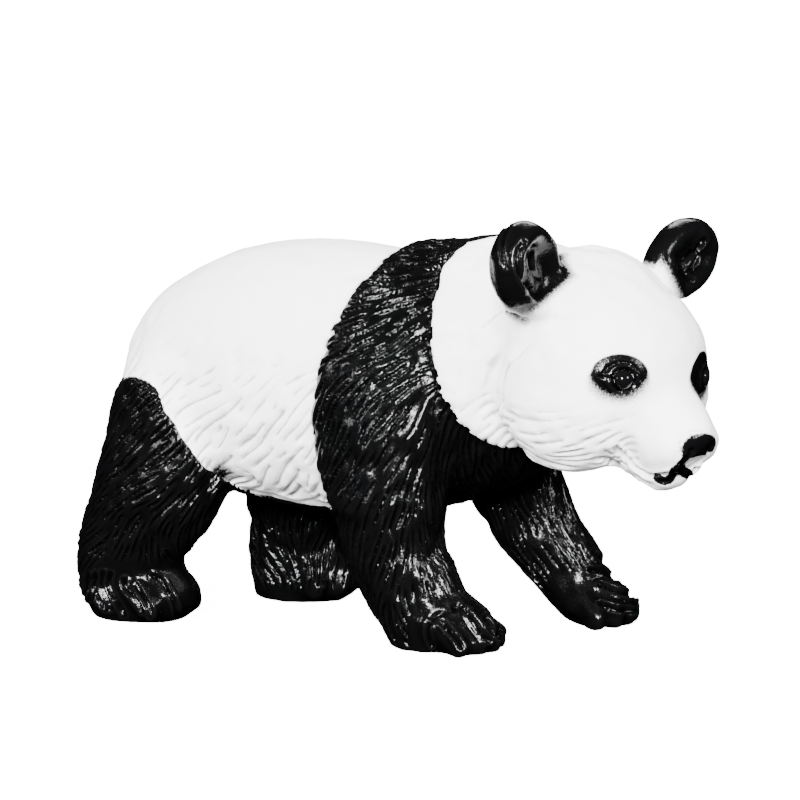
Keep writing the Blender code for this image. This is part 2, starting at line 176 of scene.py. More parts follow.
# Lines of the photograph that are carved: where each is cut, its half width and depth in units, and its
# pixels. A line of an eye is cut at both eyes, and one of the face on both sides. They are the grooves of
# the feet, the crease behind the cheek, the eyelids, the lips and the chin, and the folds of the ears.
CARVED_LINES = (
    ("skin", 0.24, 0.75, ((429, 624), (428, 634), (432, 645))),
    ("skin", 0.26, 0.95, ((442.5, 623.5), (450, 631), (456, 638), (461, 647))),
    ("skin", 0.26, 0.95, ((466, 611), (472, 619), (480, 630), (488, 641))),
    ("skin", 0.26, 0.85, ((485, 619), (494, 629), (500, 638))),
    ("skin", 0.3, 0.4, ((452, 611), (456, 607), (462, 608), (467, 612))),
    ("skin", 0.34, 0.35, ((429, 624), (432, 619), (438, 615), (446, 613))),
    ("skin", 0.24, 0.6, ((593, 553), (603, 560), (611, 569))),
    ("skin", 0.26, 0.8, ((590, 570), (601, 571), (612, 577), (623, 579), (631, 587))),
    ("skin", 0.26, 0.8, ((600, 585), (615, 590), (635, 596))),
    ("skin", 0.26, 0.8, ((600, 604), (617, 609), (633, 611))),
    ("skin", 0.26, 0.6, ((88.5, 575), (86.5, 587), (91, 599))),
    ("skin", 0.26, 0.6, ((96, 575), (94, 587), (98, 600), (106, 609))),
    ("skin", 0.26, 0.6, ((103, 573), (101, 584), (106, 598), (111, 608))),
    ("skin", 0.26, 0.6, ((110, 574), (108, 584), (112, 595), (120, 607), (124, 615))),
    ("skin", 0.26, 0.7, ((124, 580), (125, 587), (133, 597), (142, 611))),
    ("skin", 0.26, 0.7, ((137, 586), (144, 597), (150, 609), (151, 616))),
    ("skin", 0.26, 0.7, ((153, 576), (161, 579), (169, 592), (175, 603), (177, 614))),
    ("skin", 1.0, 0.7, ((522, 316), (503, 343), (488, 370), (483, 395), (486, 415))),
    ("eye", 0.16, 0.34, ((603, 373), (609, 367), (617, 363.5), (626, 363), (634, 367), (638, 373))),
    ("eye", 0.15, 0.3, ((611, 378), (615, 373), (622, 369.5), (630, 370.5), (635, 377))),
    ("eye", 0.14, 0.3, ((599, 375), (606, 378), (613, 379), (616, 384), (622, 391))),
    ("eye", 0.14, 0.24, ((636, 385), (641, 383), (645, 379))),
    (
        "face", 0.32, 1.3,
        ((614, 447), (624, 454), (633, 463), (642, 470.5), (651, 473.5), (663, 472), (674, 469)),
    ),
    ("face", 0.4, 0.45, ((596, 458), (609, 460), (620, 466), (633, 477))),
    ("face", 0.25, 0.35, ((690, 451), (686, 458), (681, 464), (680, 469))),
    ("face", 0.35, 0.4, ((674, 470), (672, 476), (667, 481), (660, 480), (655, 476))),
    ("skin", 0.3, 0.5, ((523, 243), (518, 252), (518, 265), (522, 277), (528, 286))),
    ("skin", 0.22, 0.35, ((508, 226), (503, 238), (502, 252), (506, 268))),
    ("skin", 0.22, 0.35, ((533, 246), (530, 258), (532, 270), (538, 279))),
    ("skin", 0.3, 0.8, ((673, 268), (681, 254), (691, 242), (700, 236))),
    ("skin", 0.2, 0.3, ((676, 279), (684, 284), (693, 285))),
)

# The paint of the nose's corner and the mouth, as lines of the photograph with half widths in units.
INKED_LINES = (
    (0.55, ((687, 446), (693, 441.5), (700, 438.5))),
    (0.5, ((690, 447), (689, 452), (685, 459), (681, 464), (679, 468))),
    (0.75, ((679, 468), (684, 472), (688, 474))),
    (0.62, ((674, 471), (672, 476), (667, 481), (661, 480), (657, 477))),
)

# The edges of the ears' paint, as pixels of the photograph, each with the ear on its right.
NEAR_EAR_EDGE = ((550, 222), (575, 276), (524, 322), (490, 302))
FAR_EAR_EDGE = ((677, 297), (663, 268), (636, 262))

# How many of its radii out an ear's paint ends, and how much further at its foot.
EAR_PAINT_OUT = 1.33
EAR_PAINT_FOOT = 0.35

# How far the chance value of a lock moves an edge: of the relief, and of the paint of the shoulder band,
# the hind legs and the ears.
RELIEF_RAGGED = 0.3
BAND_RAGGED = 0.45
THIGH_RAGGED = 0.12
EAR_RAGGED = 0.3

# Soft sprays of black: the pixel at the middle of each, its radius in units and its strength.
SPRAYS = (
    ((220, 476), 2.8, 0.9), ((208, 462), 1.8, 0.5), ((546, 305), 1.6, 0.35), ((556, 292), 1.4, 0.35),
    ((664, 266), 1.5, 0.4), ((651, 474), 1.0, 0.5), ((664, 473), 1.0, 0.6),
)

# How finely the skin is remade, first to lose the solid's facets, then for the carving, before it is thinned.
FORM_VOXEL = 0.5
SKIN_VOXEL = 0.21
TRIANGLES = 198000

# The colours of the plastic and of the black paint, and of each with painted shade in its grooves.
WHITE = (0.87, 0.87, 0.865, 1)
WHITE_GROOVE_SHADE = (0.32, 0.32, 0.33, 1)
INK = (0.002, 0.002, 0.0022, 1)
INK_GROOVE_SHADE = (0.0008, 0.0008, 0.0008, 1)

# The strength of the sweep's own light, and of the world's from below and from above.
SWEEP_GLOW = 14
WORLD_GLOW = (0.35, 2.1)

# Where the soft boxes point, in metres.
LIT_POINT = Vector((0, 0, 0.03))


def turned(degrees):
    """A turn about x, then y, then z."""
    return Euler([math.radians(a) for a in degrees]).to_matrix().to_4x4()


HEAD = Matrix.Translation(HEAD_AT) @ turned((0, 0, HEAD_TURN))


def row_from_drawn():
    """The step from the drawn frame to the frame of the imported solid, in metres."""
    turn = GROUND_UP.rotation_difference(Vector((0, 0, 1))).to_matrix().to_4x4()
    level = Matrix.Translation((0, 0, -GROUND_HEIGHT)) @ turn
    return Matrix.Scale(UNIT, 4) @ Matrix.Translation(-Vector(MIDDLE)) @ level


def triples(items, field):
    """A field of three numbers of each item, as rows."""
    values = np.empty(len(items) * 3, np.float32)
    items.foreach_get(field, values)
    return values.reshape(-1, 3).astype(float)


def within(points, base):
    """Points of the drawn figure in another frame."""
    back = np.array(base.inverted())
    return points @ back[:3, :3].T + back[:3, 3]


def faced(points):
    """Points in the head's frame, with the muzzle's middle, which is turned a little more, at x = 0."""
    face = within(points, HEAD)
    face[:, 0] += MUZZLE_SHIFT * ramp(-10, -14, face[:, 1])
    return face


def folded(points):
    """Points with the left side laid on the right."""
    return points * np.where(points[:, :1] > 0, [[-1, 1, 1]], [[1, 1, 1]])


def ramp(start, end, value):
    """A smooth step from 0 at the start to 1 at the end."""
    t = np.clip((value - start) / (end - start), 0, 1)
    return t * t * (3 - 2 * t)


def bell(value, wide):
    """A bump, 1 high at 0, that falls away over the given width."""
    return np.exp(-((value / wide) ** 2))


def noise(points):
    """Smooth random values from -1 to 1, with about one bump to each unit of distance."""
    cell = np.floor(points).astype(np.int64)
    t = points - cell
    t = t * t * (3 - 2 * t)
    total = np.zeros(len(points))
    for corner in range(8):
        step = np.array((corner & 1, corner >> 1 & 1, corner >> 2 & 1))
        x, y, z = (cell + step).T
        mixed = (x * 73856093 ^ y * 19349663 ^ z * 83492791) & 0xFFFFFF
        mixed = (mixed * 1103515245 + 12345 >> 8) & 0xFFFF
        total += (mixed / 32767.5 - 1) * np.where(step, t, 1 - t).prod(axis=1)
    return total


def line_distance(points, line):
    """How far each point is from a line through the given places."""
    nearest = np.full(len(points), 1e9)
    for start, end in zip(line, line[1:]):
        start, run = np.array(start, float), np.subtract(end, start)
        t = np.clip((points - start) @ run / (run @ run), 0, 1)
        nearest = np.minimum(nearest, np.linalg.norm(points - start - t[:, None] * run, axis=1))
    return nearest


def along_fur(points, normals):
    """The way the fur lies at each point, along the skin."""
    near = folded(points)
    total = np.zeros_like(points)
    for place, way in FUR_PLACES:
        apart = ((near - place) ** 2).sum(axis=1)
        total += np.array(way) / (apart[:, None] + FUR_REACH**2) ** 2
    total[:, 0] *= np.where(points[:, 0] > 0, -1, 1)
    total -= normals * (total * normals).sum(axis=1)[:, None]
    return total / np.maximum(np.linalg.norm(total, axis=1), 1e-9)[:, None]


def band_rear(points):
    """How far forward of the shoulder band's rear edge each point is."""
    x, y, z = points.T
    leg = ramp(20.5, 18, z) * ramp(6, 8.5, np.abs(x))
    return np.interp(z, BAND_HEIGHTS, BAND_REAR) + FORELEG_BACK * leg - y


def band_front(points):
    """How far behind the edge of the white ruff each point is."""
    y, z = points[:, 1:].T
    return y - np.interp(z, RUFF_HEIGHTS, RUFF_EDGE) + FAR_BEHIND * ramp(*RUFF_END, z)


def thigh(points):
    """How far inside the black of the hind legs each point is."""
    x, y, z = points.T
    top = np.interp(y + np.where(x > 0, LEFT_STEP, 0), THIGH_PLACES, THIGH_TOP) - z
    side = np.abs(x) - np.interp(z, (16, 24, 34), (1, 5, 7.5))
    leg = np.minimum(np.minimum(17.5 - z, np.abs(x) - 4.5), y - 7)
    return np.maximum(np.minimum(top, side), leg)


def nose_pad(face):
    """How far inside the nose's pad each point of the head's frame is."""
    x, y, z = face.T
    middle = -8.35 + 0.35 * (y + 17) - 0.12 * np.abs(x)
    return 1.7 - np.hypot(x / 1.75, z - middle) - np.maximum(y + 14.5, 0) * 2


def in_ears(face):
    """For each ear, the points of the head's frame in the ear's own, and how many radii out they are."""
    for at, radii, turn in EARS:
        ear = within(face, Matrix.Translation(at) @ turned(turn))
        yield ear, np.linalg.norm(ear / radii, axis=1)


def in_eye(face):
    """Points of the head's frame in the frame of the eye on their side: +X to the nose, +Z up, -Y out."""
    eye = within(folded(face), Matrix.Translation(EYE_AT) @ turned((0, 0, EYE_TURN)))
    left = face[:, 0] > 0
    eye[:, 0] -= np.where(left, LEFT_EYE_SHIFT, 0)
    eye[:, 2] += np.where(left, LEFT_EYE_DROP, 0)
    return eye


def curve(rows, count):
    """Rows read at count even steps along a smooth curve through the given rows."""
    rows = np.array(rows, float)
    ends = np.vstack([2 * rows[0] - rows[1], rows, 2 * rows[-1] - rows[-2]])
    place = np.linspace(0, len(rows) - 1, count)
    first = np.minimum(place.astype(int), len(rows) - 2)
    t = (place - first)[:, None]
    a, b, c, d = (ends[first + k] for k in range(4))
    return 0.5 * (2 * b + (c - a) * t + (2 * a - 5 * b + 4 * c - d) * t**2 + (3 * b - a - 3 * c + d) * t**3)


def view():
    """The camera's place in the drawn frame, and its right, up and back."""
    turn, rise = math.radians(CAMERA_TURN), math.radians(CAMERA_RISE)
    back = Vector((math.sin(turn) * math.cos(rise), -math.cos(turn) * math.cos(rise), math.sin(rise)))
    right = Vector((math.cos(turn), math.sin(turn), 0))
    eye = CAMERA_TARGET + CAMERA_AWAY * back
    back = (eye - CAMERA_TARGET - CAMERA_AIM[0] * right - CAMERA_AIM[1] * back.cross(right)).normalized()
    right = Vector((0, 0, 1)).cross(back).normalized()
    return eye, right, back.cross(right), back


def seen(tree, pixels):
    """The points of a surface that show at pixels of the photograph."""
    eye, right, up, back = view()
    found = []
    for x, y in pixels:
        over, under = (x - IMAGE_PIXELS / 2) / FOCAL_PIXELS, (IMAGE_PIXELS / 2 - y) / FOCAL_PIXELS
        place = tree.ray_cast(eye, over * right + under * up - back)[0]
        if place:
            found.append(tuple(place))
    return np.array(found)


def pixels_of(points):
    """Where points of the drawn frame show in the photograph."""
    eye, right, up, back = view()
    apart = points - np.array(eye)
    away = -(apart @ np.array(back))
    over, rise = apart @ np.array(right) / away, apart @ np.array(up) / away
    return IMAGE_PIXELS / 2 + FOCAL_PIXELS * np.column_stack([over, -rise])


def beside(pixels, line):
    """How far each pixel is to the right of each stretch of a line, in units."""
    for start, end in zip(line, line[1:]):
        run = np.subtract(end, start) / math.dist(start, end)
        yield (pixels - start) @ (-run[1], run[0]) / PIXELS_PER_UNIT


def drawn_distance(points, tree, pixels, reach):
    """How far points within reach of a line of the photograph are from it, across the view, in units."""
    smooth = curve(pixels, 6 * len(pixels))
    line = seen(tree, smooth)
    near = (points > line.min(axis=0) - reach) & (points < line.max(axis=0) + reach)
    close = np.flatnonzero(near.all(axis=1))
    close = close[line_distance(points[close], line) < reach]
    flat = np.column_stack([pixels_of(points[close]), np.zeros(len(close))])
    line = np.column_stack([smooth, np.zeros(len(smooth))])
    tip = np.minimum(*(np.linalg.norm(flat - line[end], axis=1) for end in (0, -1)))
    return close, line_distance(flat, line) / PIXELS_PER_UNIT, tip / PIXELS_PER_UNIT


class Fur:
    """Lines of fur traced evenly over a skin, each along the lie of the hair."""

    # How far apart the places of a line lie, and the size of the cells that keep them, wider than any gap.
    STEP = 0.3
    CELL = 1.8

    # How long a line may be, in gaps, and the fewest places it may have.
    LONG = (6.0, 13.0)
    FEWEST = 5

    # How far from the others a line starts and how near to one it may run, in gaps.
    START_ROOM = 0.95
    PASSING_ROOM = 0.62

    SEED = 11

    def __init__(self, skin, gaps):
        """gaps is how far apart the lines lie at each point of the skin, or 0 where there are none."""
        normals = skin.normals()
        self.places = [Vector(place) for place in skin.points.tolist()]
        self.normals = [Vector(normal) for normal in normals.tolist()]
        self.ways = [Vector(way) for way in swayed(skin.points, normals).tolist()]
        self.gaps = gaps.tolist()
        self.tree = KDTree(len(self.places))
        for i, place in enumerate(self.places):
            self.tree.insert(place, i)
        self.tree.balance()
        self.cells = {}
        self.rows = []
        self.trace()

    def trace(self):
        """Lays lines from the skin's points, taken in a chance order, wherever there is room."""
        chance = random.Random(self.SEED)
        order = list(range(len(self.places)))
        chance.shuffle(order)
        for start in order:
            gap = self.gaps[start]
            if gap <= 0 or not self.free(self.places[start], gap * self.START_ROOM):
                continue
            steps = int(chance.uniform(*self.LONG) * gap / self.STEP / 2)
            before, after = ([*self.followed(start, sign, steps)] for sign in (-1, 1))
            line = before[::-1] + [(self.places[start], start)] + after
            if len(line) < self.FEWEST:
                continue
            lock, deep = chance.uniform(-1, 1), chance.uniform(0.6, 1.15)
            for i, (place, near) in enumerate(line):
                room = min(i, len(line) - 1 - i) * self.STEP
                self.cells.setdefault(self.cell(place), []).append(place)
                facts = self.gaps[near], room, lock, deep
                self.rows.append((*place, *self.ways[near], *self.normals[near], *facts))

    def cell(self, place):
        return tuple(int(value // self.CELL) for value in place)

    def free(self, place, reach):
        """Whether no line passes within reach of a place."""
        x, y, z = self.cell(place)
        for i, j, k in product((x - 1, x, x + 1), (y - 1, y, y + 1), (z - 1, z, z + 1)):
            for other in self.cells.get((i, j, k), ()):
                if (other - place).length_squared < reach * reach:
                    return False
        return True

    def followed(self, near, sign, steps):
        """The places of a line from its start, with or against the hair, and the skin's point at each."""
        place = self.places[near]
        for _ in range(steps):
            place = place + self.ways[near] * (sign * self.STEP)
            near = self.tree.find(place)[1]
            normal = self.normals[near]
            place = place - normal * (place - self.places[near]).dot(normal)
            if self.gaps[near] <= 0 or not self.free(place, self.PASSING_ROOM * self.gaps[near]):
                return
            yield place, near

    def combed(self, points, soft):
        """The locks' relief at each point, rounder where soft is 1, and a chance value of its lock."""
        tree = KDTree(len(self.rows))
        for i, row in enumerate(self.rows):
            tree.insert(row[:3], i)
        tree.balance()
        nearest = [tree.find(point)[1] for point in points.tolist()]
        rows = np.array(self.rows)[nearest]
        apart, way, normal = points - rows[:, :3], rows[:, 3:6], rows[:, 6:9]
        gap, room, lock, deep = rows[:, 9:].T
        beyond = np.maximum(np.abs((apart * way).sum(axis=1)) - self.STEP, 0)
        side = (apart * np.cross(normal, way)).sum(axis=1) / gap

        # Crisp strands overlap: the skin steps down across each line, into a groove. Soft ones only have a
        # round groove.
        step = -0.55 * np.tanh(side / 0.07) * bell(side, 0.34)
        groove = 0.55 * np.where(side < 0, bell(side, 0.11), bell(side, 0.2))
        crisp = step - groove
        round_groove = -0.75 * bell(side + 0.05, 0.27) - 0.25 * np.tanh(side / 0.15) * bell(side, 0.4)
        relief = crisp + (round_groove - crisp) * soft

        # A line fades out towards its two ends.
        fade = ramp(0, 1.6, room) * ramp(0.9, 0, beyond) * deep
        return relief * fade, lock


def swayed(points, normals):
    """The lie of the fur with the sway of its locks."""
    way = along_fur(points, normals)
    turn = 0.42 * noise(points / 6.5 + 31) + 0.22 * noise(points / 2.8 + 57)
    return way * np.cos(turn)[:, None] + np.cross(normals, way) * np.sin(turn)[:, None]


class Skin:
    """A closed mesh of the drawn figure, with its points as rows of numbers."""

    def __init__(self, mesh):
        self.mesh = mesh
        self.points = triples(mesh.vertices, "co")

    def store(self):
        self.mesh.vertices.foreach_set("co", self.points.ravel())
        self.mesh.update()

    def normals(self):
        self.store()
        return triples(self.mesh.vertex_normals, "vector")

    def smoothed(self, values, rounds, back=0.0):
        """Values of the points, each drawn halfway to its neighbours' mean and, if asked, pushed back."""
        pairs = np.empty(len(self.mesh.edges) * 2, np.int32)
        self.mesh.edges.foreach_get("vertices", pairs)
        a, b = pairs.reshape(-1, 2).T
        count = len(self.points)
        near = np.bincount(a, minlength=count) + np.bincount(b, minlength=count)
        columns = [column.copy() for column in values.T]
        for step in [0.5, -back] * rounds if back else [0.5] * rounds:
            for column in columns:
                total = np.bincount(a, column[b], count) + np.bincount(b, column[a], count)
                column += step * (total / near - column)
        return np.column_stack(columns)


def remade(clay, voxel):
    """The forms of the clay fused into one skin."""
    mesh = bpy.data.meshes.new("clay")
    clay.to_mesh(mesh)
    clay.free()
    lump = bpy.data.objects.new("clay", mesh)
    bpy.context.collection.objects.link(lump)
    fuse = lump.modifiers.new("Fuse", "REMESH")
    fuse.mode = "VOXEL"
    fuse.voxel_size = voxel
    return Skin(settled(lump))


def settled(lump):
    """The mesh that an object's modifiers make. The object goes."""
    graph = bpy.context.evaluated_depsgraph_get()
    skin = bpy.data.meshes.new_from_object(lump.evaluated_get(graph))
    mesh = lump.data
    bpy.data.objects.remove(lump)
    bpy.data.meshes.remove(mesh)
    return skin


def form():
    """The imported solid's form without its facets, smoothed in a way that keeps its volume."""
    clay = bmesh.new()
    clay.from_mesh(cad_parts["panda"].data)
    bmesh.ops.remove_doubles(clay, verts=clay.verts, dist=1e-6)
    bmesh.ops.transform(clay, matrix=row_from_drawn().inverted(), verts=clay.verts)
    skin = remade(clay, FORM_VOXEL)
    skin.points = skin.smoothed(skin.points, 24, back=0.53)
    skin.store()
    return skin


def regions(points):
    """Where the skin is painted black, is on the head, and is a bare part of the face, each from 0 to 1."""
    y, z = points[:, 1:].T
    face = within(points, HEAD)
    eye = in_eye(face)
    snout = ramp(-8.5, -12.5, face[:, 1]) * ramp(8, 4.5, np.abs(face[:, 0]))
    brow = ramp(-3, -9, face[:, 1]) * ramp(-5, -1, face[:, 2])
    near_eye = ramp(5.5, 3.4, np.hypot(eye[:, 0], eye[:, 2])) * ramp(5, 3, eye[:, 1])
    ruff = ramp(0.5, -0.8, band_front(points)) * ramp(24, 27, z)
    head = np.maximum(ruff, ramp(-30, -32, y) * ramp(26, 29, z))
    black = np.maximum(np.minimum(band_rear(points), band_front(points)), thigh(points))
    bare = np.max([snout, 0.85 * brow, near_eye], axis=0)
    for _, out in in_ears(face):
        bare = np.maximum(bare, ramp(1.22, 1.05, out))
    return ramp(-0.2, 0.4, black), head, bare


def paws(points):
    """How far each point is within the front of a paw, where the toes are carved in place of fur."""
    x, y, z = points.T
    near = np.maximum(ramp(-10.5, -13.5, y), ramp(39, 36, y) * ramp(20, 24, y)) * ramp(10.5, 8, z)
    far = ramp(-18, -21, y) * ramp(10.5, 8, z)
    return np.where(x < 0, near, far)


def fur_gaps(points):
    """How far apart the lines of fur lie at each point."""
    black, head, bare = regions(points)
    gap = WHITE_GAP + BELLY_WIDER * ramp(24, 16, points[:, 2]) * (1 - head) * (1 - black)
    gap += (BLACK_GAP - gap) * black
    gap += (WHITE_GAP - gap) * head * (1 - black)
    back = ramp(39, 46, points[:, 2]) * (1 - black) * (1 - head)
    crown = head * (1 - black) * ramp(34, 38, points[:, 2])
    smooth = np.max([bare, back, crown, paws(points), ramp(2, 1, points[:, 2])], axis=0)
    return np.where(smooth > 0.85, 0, gap)


def fur_depth(points):
    """How deep the grooves of the fur are at each point."""
    black, head, bare = regions(points)
    z = points[:, 2]
    white = BACK_DEPTH + FLANK_DEEPER * ramp(40, 24, z) + BELLY_DEEPER * ramp(21, 16, z)
    white += (CHEEK_DEPTH * ramp(39, 31, z) - white) * head
    depth = white + (BLACK_DEPTH - white) * black
    back = ramp(34, 44, z) * (1 - black) * (1 - head)
    return depth * (1 - bare) * (1 - 0.94 * back) * (1 - paws(points)) * ramp(0.6, 3, z)


def cut_lines(points, tree):
    """The relief of the carved lines at each point."""
    spaces = {"face": folded(faced(points)), "eye": in_eye(within(points, HEAD))}
    rise = np.zeros(len(points))
    for space, wide, deep, pixels in CARVED_LINES:
        if space == "skin":
            close, apart, tip = drawn_distance(points, tree, pixels, 1.5 + 2 * wide)
        else:
            line = seen(tree, curve(pixels, 6 * len(pixels)))
            line = in_eye(within(line, HEAD)) if space == "eye" else folded(faced(line))
            here = spaces[space]
            reach = 3 * wide + 0.3
            close = ((here > line.min(axis=0) - reach) & (here < line.max(axis=0) + reach)).all(axis=1)
            close = np.flatnonzero(close)
            apart = line_distance(here[close], line)
            tip = np.minimum(*(np.linalg.norm(here[close] - line[end], axis=1) for end in (0, -1)))
        groove = bell(apart, wide) - 0.3 * bell(apart - 2.1 * wide, wide)
        rise[close] -= deep * groove * ramp(-0.2, 2.5 * wide, tip)
    return rise


def carved(skin, fur, tree):
    """Carves the fur, the face, the ears and the feet into the skin.

    It also stores some of the values that the paint reads, because the mesh is at its finest here.
    """
    points, normals = skin.points, skin.normals()
    face = within(points, HEAD)
    right = folded(faced(points))
    z = points[:, 2]
    groove, lock = fur.combed(points, 1 - regions(points)[0])
    rise = fur_depth(points) * groove + cut_lines(points, tree)

    ear, out = [*in_ears(face)][1]
    radii = EARS[1][1]
    hollow = ramp(0.95, 0.3, np.hypot(ear[:, 0] / radii[0], ear[:, 2] / radii[2]))
    hollow *= ramp(0.5, -0.5, ear[:, 1])
    rise += FAR_EAR_FILL * hollow * ramp(1.1, 1.0, out)

    rear, front = (edge(points) + RELIEF_RAGGED * lock for edge in (band_rear, band_front))
    rise += BAND_RISE * ramp(-0.2, 0.15, rear) * ramp(6, 1, rear) * ramp(17, 21, z) * ramp(0, 3, front)
    rise += RUFF_RISE * ramp(0.15, -0.2, front) * ramp(-5, -1, front) * ramp(26, 29, z)

    eye = in_eye(face)
    apart = np.hypot(eye[:, 0], eye[:, 2])
    bulge = EYE_RISE * np.sqrt(np.clip(1 - (apart / EYE_RADIUS) ** 2, 0, 1))
    bulge -= EYE_GROOVE * bell(apart - EYE_RADIUS, 0.2)
    bulge += RIM_RISE * bell(apart - RIM_RADIUS, 0.3)
    rise += bulge * ramp(4, 2.5, eye[:, 1])

    rise += NOSE_RISE * ramp(-0.15, 0.2, nose_pad(faced(points)))
    nostril = np.hypot(right[:, 0] - NOSTRIL_AT[0], (right[:, 2] - NOSTRIL_AT[1]) * 1.4)
    rise -= NOSTRIL_DEPTH * bell(nostril, 0.5) * ramp(-15, -16, face[:, 1])

    put(skin, "lock", lock)
    put(skin, "thigh", thigh(points))
    put(skin, "band", np.minimum(band_rear(points), band_front(points)))
    skin.points = points + normals * rise[:, None]
    # How far each point lies in a hollow, which the material turns into painted shade in the grooves.
    cavity_shade = ((skin.smoothed(skin.points, 8) - skin.points) * skin.normals()).sum(axis=1)
    put(skin, "cavity_shade", np.clip(cavity_shade / 0.08, -1, 1))


def thinned(skin):
    """The skin with fewer triangles, most of all on the side away from the camera."""
    facing = skin.normals() @ np.array(view()[3])
    lump = bpy.data.objects.new("skin", skin.mesh)
    bpy.context.collection.objects.link(lump)
    group = lump.vertex_groups.new(name="thin")
    group.add(np.flatnonzero(facing > -0.2).tolist(), 0.5, "REPLACE")
    group.add(np.flatnonzero(facing <= -0.2).tolist(), 1.0, "REPLACE")
    skin.mesh.calc_loop_triangles()
    thin = lump.modifiers.new("Thin", "DECIMATE")
    thin.ratio = TRIANGLES / len(skin.mesh.loop_triangles)
    thin.use_collapse_triangulate = True
    thin.vertex_group = group.name
    thin.vertex_group_factor = 0.02
    return Skin(settled(lump))


def painted(skin, tree):
    """Stores where the black paint lies on the skin, how soft its edge is and where it is glossy."""
    points = skin.points
    face = within(points, HEAD)
    eye = in_eye(face)
    lock = values_of(skin, "lock")
    band = values_of(skin, "band") + BAND_RAGGED * lock
    hind = values_of(skin, "thigh") + THIGH_RAGGED * lock
    pixels = pixels_of(points)
    near_edge = np.min([*beside(pixels, NEAR_EAR_EDGE)], axis=0)
    far_edge = np.max([*beside(pixels, FAR_EAR_EDGE)], axis=0)
    ears = []
    for (ear, out), edge in zip(in_ears(face), (near_edge, far_edge)):
        limit = EAR_PAINT_OUT + EAR_PAINT_FOOT * ramp(1, -2, ear[:, 2])
        ears.append(np.minimum((limit - out) * 4, edge + EAR_RAGGED * lock))
    inks = [band, hind, nose_pad(faced(points))]
    for wide, line in INKED_LINES:
        ink = np.full(len(points), -9.0)
        close, apart = drawn_distance(points, tree, line, 2.5)[:2]
        ink[close] = wide - apart
        inks.append(ink)
    put(skin, "black", np.max(inks, axis=0))

    left = face[:, :1] > 0
    half = np.where(left, LEFT_PATCH_HALF, PATCH_HALF)
    out = (eye[:, [0, 2]] - np.where(left, LEFT_PATCH_MIDDLE, PATCH_MIDDLE)) / half
    patch = half[:, 1] * (1 - np.linalg.norm(out, axis=1)) - np.maximum(eye[:, 1] - 2, 0)
    soft = ramp(1.2, -1.6, eye[:, 2])
    for (_, out), paint in zip(in_ears(face), ears):
        patch = np.maximum(patch, 1.3 * paint)
        soft = np.maximum(soft, ramp(1.7, 1.5, out))
    put(skin, "patch", patch)
    put(skin, "soft", soft)
    spray = np.zeros(len(points))
    for pixel, wide, strength in SPRAYS:
        apart = np.linalg.norm(points - seen(tree, [pixel])[0], axis=1)
        spray = np.maximum(spray, strength * bell(apart, wide))
    put(skin, "spray", spray)

    gloss = ramp(0.05, -0.1, np.hypot(eye[:, 0], eye[:, 2]) - EYE_RADIUS) * ramp(4, 2, eye[:, 1])
    put(skin, "gloss", np.maximum(gloss, 0.6 * ramp(-0.1, 0.2, nose_pad(faced(points)))))


def values_of(skin, name):
    """A value of each point that was stored on the mesh."""
    values = np.empty(len(skin.points), np.float32)
    skin.mesh.attributes[name].data.foreach_get("value", values)
    return values.astype(float)


def put(skin, name, values):
    """Stores a value of each point on the mesh, under a name that its material reads."""
    field = skin.mesh.attributes.get(name) or skin.mesh.attributes.new(name, "FLOAT", "POINT")
    field.data.foreach_set("value", np.asarray(values, np.float32))


def node(tree, kind, *links, **values):
    """Adds a node to a material. links are (socket here, node or socket it reads)."""
    item = tree.nodes.new(kind)
    for name, value in values.items():
        setattr(item, name, value)
    for socket, source in links:
        if isinstance(source, (int, float, tuple)):
            item.inputs[socket].default_value = source
        else:
            output = source if isinstance(source, bpy.types.NodeSocket) else source.outputs[0]
            tree.links.new(output, item.inputs[socket])
    return item


